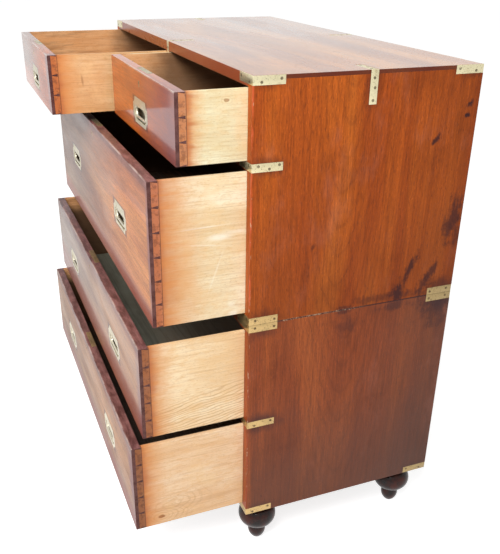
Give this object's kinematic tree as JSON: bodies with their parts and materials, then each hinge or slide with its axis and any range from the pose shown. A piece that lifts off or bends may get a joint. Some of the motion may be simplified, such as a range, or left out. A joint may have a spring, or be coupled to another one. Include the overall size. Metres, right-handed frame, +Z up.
{
  "type": "campaign chest of drawers",
  "caption": "Two-part military chest of drawers with flush brass straps, recessed swing-bail handles, open drawers and turned feet.",
  "frame": {"origin": "middle of the floor area taken up, at floor level, with the drawers pulled out as drawn", "axes": "+Z up, the drawers open towards -Y, X along the width with +X at the right-hand side seen from the front"},
  "size_m": [0.99, 0.721, 1.051],
  "materials": {
    "case_wood": "polished",
    "front_wood": "gloss",
    "foot_wood": "gloss",
    "drawer_pine": "satin",
    "secondary_wood": "matte",
    "strap_brass": "satin",
    "handle_brass": "satin",
    "lock_brass": "satin"
  },
  "bodies": {
    "lower_case": {"lower_top": "case_wood", "lower_bottom": "case_wood", "lower_rail": "case_wood", "lower_dustboard": "secondary_wood", "lower_back": "secondary_wood", "lower_side_left": "case_wood", "lower_side_right": "case_wood", "foot_front_left": "foot_wood", "foot_front_right": "foot_wood", "foot_rear_left": "foot_wood", "foot_rear_right": "foot_wood", "lower_straps": "strap_brass"},
    "upper_case": {"upper_top": "case_wood", "upper_bottom": "case_wood", "upper_rail": "case_wood", "upper_dustboard": "secondary_wood", "upper_divider": "case_wood", "upper_back": "secondary_wood", "upper_side_left": "case_wood", "upper_side_right": "case_wood", "locating_pegs": "secondary_wood", "upper_straps": "strap_brass"},
    "short_left_drawer": {"short_left_drawer_front": "front_wood", "short_left_drawer_box": "drawer_pine", "short_left_drawer_bottom": "drawer_pine", "short_left_drawer_lock": "lock_brass", "short_left_drawer_handle_plates": "handle_brass"},
    "short_left_drawer_lock_bolt": {"short_left_drawer_lock_bolt": "lock_brass"},
    "short_left_drawer_bail": {"short_left_drawer_bail": "handle_brass"},
    "short_right_drawer": {"short_right_drawer_front": "front_wood", "short_right_drawer_box": "drawer_pine", "short_right_drawer_bottom": "drawer_pine", "short_right_drawer_lock": "lock_brass", "short_right_drawer_handle_plates": "handle_brass"},
    "short_right_drawer_lock_bolt": {"short_right_drawer_lock_bolt": "lock_brass"},
    "short_right_drawer_bail": {"short_right_drawer_bail": "handle_brass"},
    "deep_drawer": {"deep_drawer_front": "front_wood", "deep_drawer_box": "drawer_pine", "deep_drawer_bottom": "drawer_pine", "deep_drawer_lock": "lock_brass", "deep_drawer_handle_plates": "handle_brass"},
    "deep_drawer_lock_bolt": {"deep_drawer_lock_bolt": "lock_brass"},
    "deep_drawer_bail_left": {"deep_drawer_bail_left": "handle_brass"},
    "deep_drawer_bail_right": {"deep_drawer_bail_right": "handle_brass"},
    "middle_drawer": {"middle_drawer_front": "front_wood", "middle_drawer_box": "drawer_pine", "middle_drawer_bottom": "drawer_pine", "middle_drawer_lock": "lock_brass", "middle_drawer_handle_plates": "handle_brass"},
    "middle_drawer_lock_bolt": {"middle_drawer_lock_bolt": "lock_brass"},
    "middle_drawer_bail_left": {"middle_drawer_bail_left": "handle_brass"},
    "middle_drawer_bail_right": {"middle_drawer_bail_right": "handle_brass"},
    "bottom_drawer": {"bottom_drawer_front": "front_wood", "bottom_drawer_box": "drawer_pine", "bottom_drawer_bottom": "drawer_pine", "bottom_drawer_lock": "lock_brass", "bottom_drawer_handle_plates": "handle_brass"},
    "bottom_drawer_lock_bolt": {"bottom_drawer_lock_bolt": "lock_brass"},
    "bottom_drawer_bail_left": {"bottom_drawer_bail_left": "handle_brass"},
    "bottom_drawer_bail_right": {"bottom_drawer_bail_right": "handle_brass"}
  },
  "joints": [
    {"name": "upper_case_lift", "type": "slide", "parent": "lower_case", "child": "upper_case", "axis": [0, 0, 1], "range_m": [0, 0.1]},
    {"name": "short_left_drawer_slide", "type": "slide", "parent": "upper_case", "child": "short_left_drawer", "axis": [0, -1, 0], "range_m": [-0.261, 0.109]},
    {"name": "short_left_drawer_bolt_throw", "type": "slide", "parent": "short_left_drawer", "child": "short_left_drawer_lock_bolt", "axis": [0, 0, 1], "range_m": [0, 0.008]},
    {"name": "short_left_drawer_bail_swing", "type": "hinge", "parent": "short_left_drawer", "child": "short_left_drawer_bail", "pos_m": [-0.242, -0.3573, 0.95475], "axis": [-1, 0, 0], "range_deg": [0, 100]},
    {"name": "short_right_drawer_slide", "type": "slide", "parent": "upper_case", "child": "short_right_drawer", "axis": [0, -1, 0], "range_m": [-0.1285, 0.2415]},
    {"name": "short_right_drawer_bolt_throw", "type": "slide", "parent": "short_right_drawer", "child": "short_right_drawer_lock_bolt", "axis": [0, 0, 1], "range_m": [0, 0.008]},
    {"name": "short_right_drawer_bail_swing", "type": "hinge", "parent": "short_right_drawer", "child": "short_right_drawer_bail", "pos_m": [0.242, -0.2248, 0.95475], "axis": [-1, 0, 0], "range_deg": [0, 100]},
    {"name": "deep_drawer_slide", "type": "slide", "parent": "upper_case", "child": "deep_drawer", "axis": [0, -1, 0], "range_m": [-0.181, 0.189]},
    {"name": "deep_drawer_bolt_throw", "type": "slide", "parent": "deep_drawer", "child": "deep_drawer_lock_bolt", "axis": [0, 0, 1], "range_m": [0, 0.008]},
    {"name": "deep_drawer_bail_left_swing", "type": "hinge", "parent": "deep_drawer", "child": "deep_drawer_bail_left", "pos_m": [-0.242, -0.2773, 0.75125], "axis": [-1, 0, 0], "range_deg": [0, 100]},
    {"name": "deep_drawer_bail_right_swing", "type": "hinge", "parent": "deep_drawer", "child": "deep_drawer_bail_right", "pos_m": [0.242, -0.2773, 0.75125], "axis": [-1, 0, 0], "range_deg": [0, 100]},
    {"name": "middle_drawer_slide", "type": "slide", "parent": "lower_case", "child": "middle_drawer", "axis": [0, -1, 0], "range_m": [-0.212, 0.158]},
    {"name": "middle_drawer_bolt_throw", "type": "slide", "parent": "middle_drawer", "child": "middle_drawer_lock_bolt", "axis": [0, 0, 1], "range_m": [0, 0.008]},
    {"name": "middle_drawer_bail_left_swing", "type": "hinge", "parent": "middle_drawer", "child": "middle_drawer_bail_left", "pos_m": [-0.242, -0.3083, 0.4645], "axis": [-1, 0, 0], "range_deg": [0, 100]},
    {"name": "middle_drawer_bail_right_swing", "type": "hinge", "parent": "middle_drawer", "child": "middle_drawer_bail_right", "pos_m": [0.242, -0.3083, 0.4645], "axis": [-1, 0, 0], "range_deg": [0, 100]},
    {"name": "bottom_drawer_slide", "type": "slide", "parent": "lower_case", "child": "bottom_drawer", "axis": [0, -1, 0], "range_m": [-0.237, 0.133]},
    {"name": "bottom_drawer_bolt_throw", "type": "slide", "parent": "bottom_drawer", "child": "bottom_drawer_lock_bolt", "axis": [0, 0, 1], "range_m": [0, 0.008]},
    {"name": "bottom_drawer_bail_left_swing", "type": "hinge", "parent": "bottom_drawer", "child": "bottom_drawer_bail_left", "pos_m": [-0.242, -0.3333, 0.24075], "axis": [-1, 0, 0], "range_deg": [0, 100]},
    {"name": "bottom_drawer_bail_right_swing", "type": "hinge", "parent": "bottom_drawer", "child": "bottom_drawer_bail_right", "pos_m": [0.242, -0.3333, 0.24075], "axis": [-1, 0, 0], "range_deg": [0, 100]}
  ]
}
